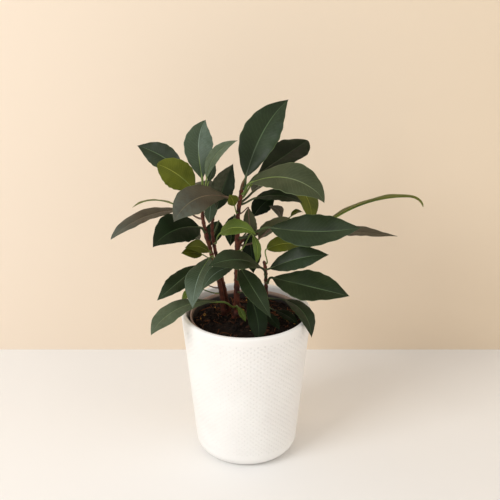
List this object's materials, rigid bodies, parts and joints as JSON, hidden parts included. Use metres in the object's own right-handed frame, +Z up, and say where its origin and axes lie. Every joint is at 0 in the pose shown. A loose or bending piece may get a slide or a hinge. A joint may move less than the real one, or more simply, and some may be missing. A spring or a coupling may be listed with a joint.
{
  "type": "potted rubber plant",
  "caption": "Young rubber plant with glossy oval leaves on thin woody stems, in a plastic nursery pot inside a tapered white ceramic cachepot.",
  "frame": {"origin": "centre of the cachepot's flat underside, on the surface it stands on", "axes": "+Z up along the cachepot's axis, -Y towards the front of the plant, +X to the right seen from the front"},
  "size_m": [0.3213, 0.1683, 0.3732],
  "materials": {
    "cachepot_glaze": "satin",
    "nursery_plastic": "matte",
    "soil": "matte",
    "bark": "matte",
    "leaf_deep": "satin",
    "leaf_blue": "satin",
    "leaf_grey": "satin",
    "leaf_olive": "satin",
    "leaf_lime": "satin",
    "leaf_brown": "satin",
    "leaf_dark": "satin",
    "leaf_dry": "matte"
  },
  "bodies": {
    "root": {"cachepot": "cachepot_glaze", "nursery_pot": "nursery_plastic", "potting_soil": "soil", "stem_centre": "bark", "stem_left": "bark", "stem_inner": "bark", "stem_right": "bark", "stem_branch": "bark", "leaf_crown_tall": "leaf_deep", "leaf_crown_back": "leaf_dark", "leaf_crown_right": "leaf_grey", "leaf_crown_under": "leaf_dark", "leaf_right_hanging": "leaf_olive", "leaf_left_brown": "leaf_brown", "leaf_back_dark": "leaf_dark", "leaf_hang_brown": "leaf_brown", "leaf_hang_black": "leaf_dark", "leaf_young_hanging": "leaf_lime", "leaf_small_olive": "leaf_olive", "leaf_right_big": "leaf_deep", "leaf_right_under": "leaf_brown", "leaf_back_b": "leaf_dark", "leaf_front_left_low": "leaf_blue", "leaf_front_mid": "leaf_deep", "leaf_front_dip": "leaf_dark", "leaf_rim_left": "leaf_grey", "leaf_soil_young": "leaf_lime", "leaf_rear_right": "leaf_deep", "leaf_rear_low": "leaf_deep", "leaf_left_upright": "leaf_blue", "leaf_left_olive": "leaf_olive", "leaf_left_back": "leaf_deep", "leaf_crown_light": "leaf_grey", "leaf_narrow_dark": "leaf_blue", "leaf_hang_blue": "leaf_blue", "leaf_left_thin": "leaf_olive", "leaf_left_long": "leaf_brown", "leaf_left_green": "leaf_dark", "leaf_low_olive_a": "leaf_olive", "leaf_low_olive_b": "leaf_olive", "leaf_left_droop": "leaf_blue", "leaf_left_low": "leaf_deep", "leaf_bright_bit": "leaf_lime", "leaf_dry_bit": "leaf_dry", "leaf_rear_left_low": "leaf_deep", "leaf_black_upright": "leaf_dark", "leaf_young_bright": "leaf_lime", "leaf_back_a": "leaf_dark", "leaf_rear_left": "leaf_deep", "leaf_right_arching": "leaf_olive", "leaf_right_far": "leaf_brown", "leaf_curl_brown": "leaf_brown", "leaf_sliver": "leaf_olive", "leaf_olive_back": "leaf_olive", "leaf_right_mid": "leaf_deep", "leaf_front_left_up": "leaf_deep", "leaf_right_low": "leaf_deep", "leaf_rim_right": "leaf_deep", "leaf_pot_dark_a": "leaf_dark", "leaf_pot_dark_b": "leaf_dark"}
  },
  "joints": []
}
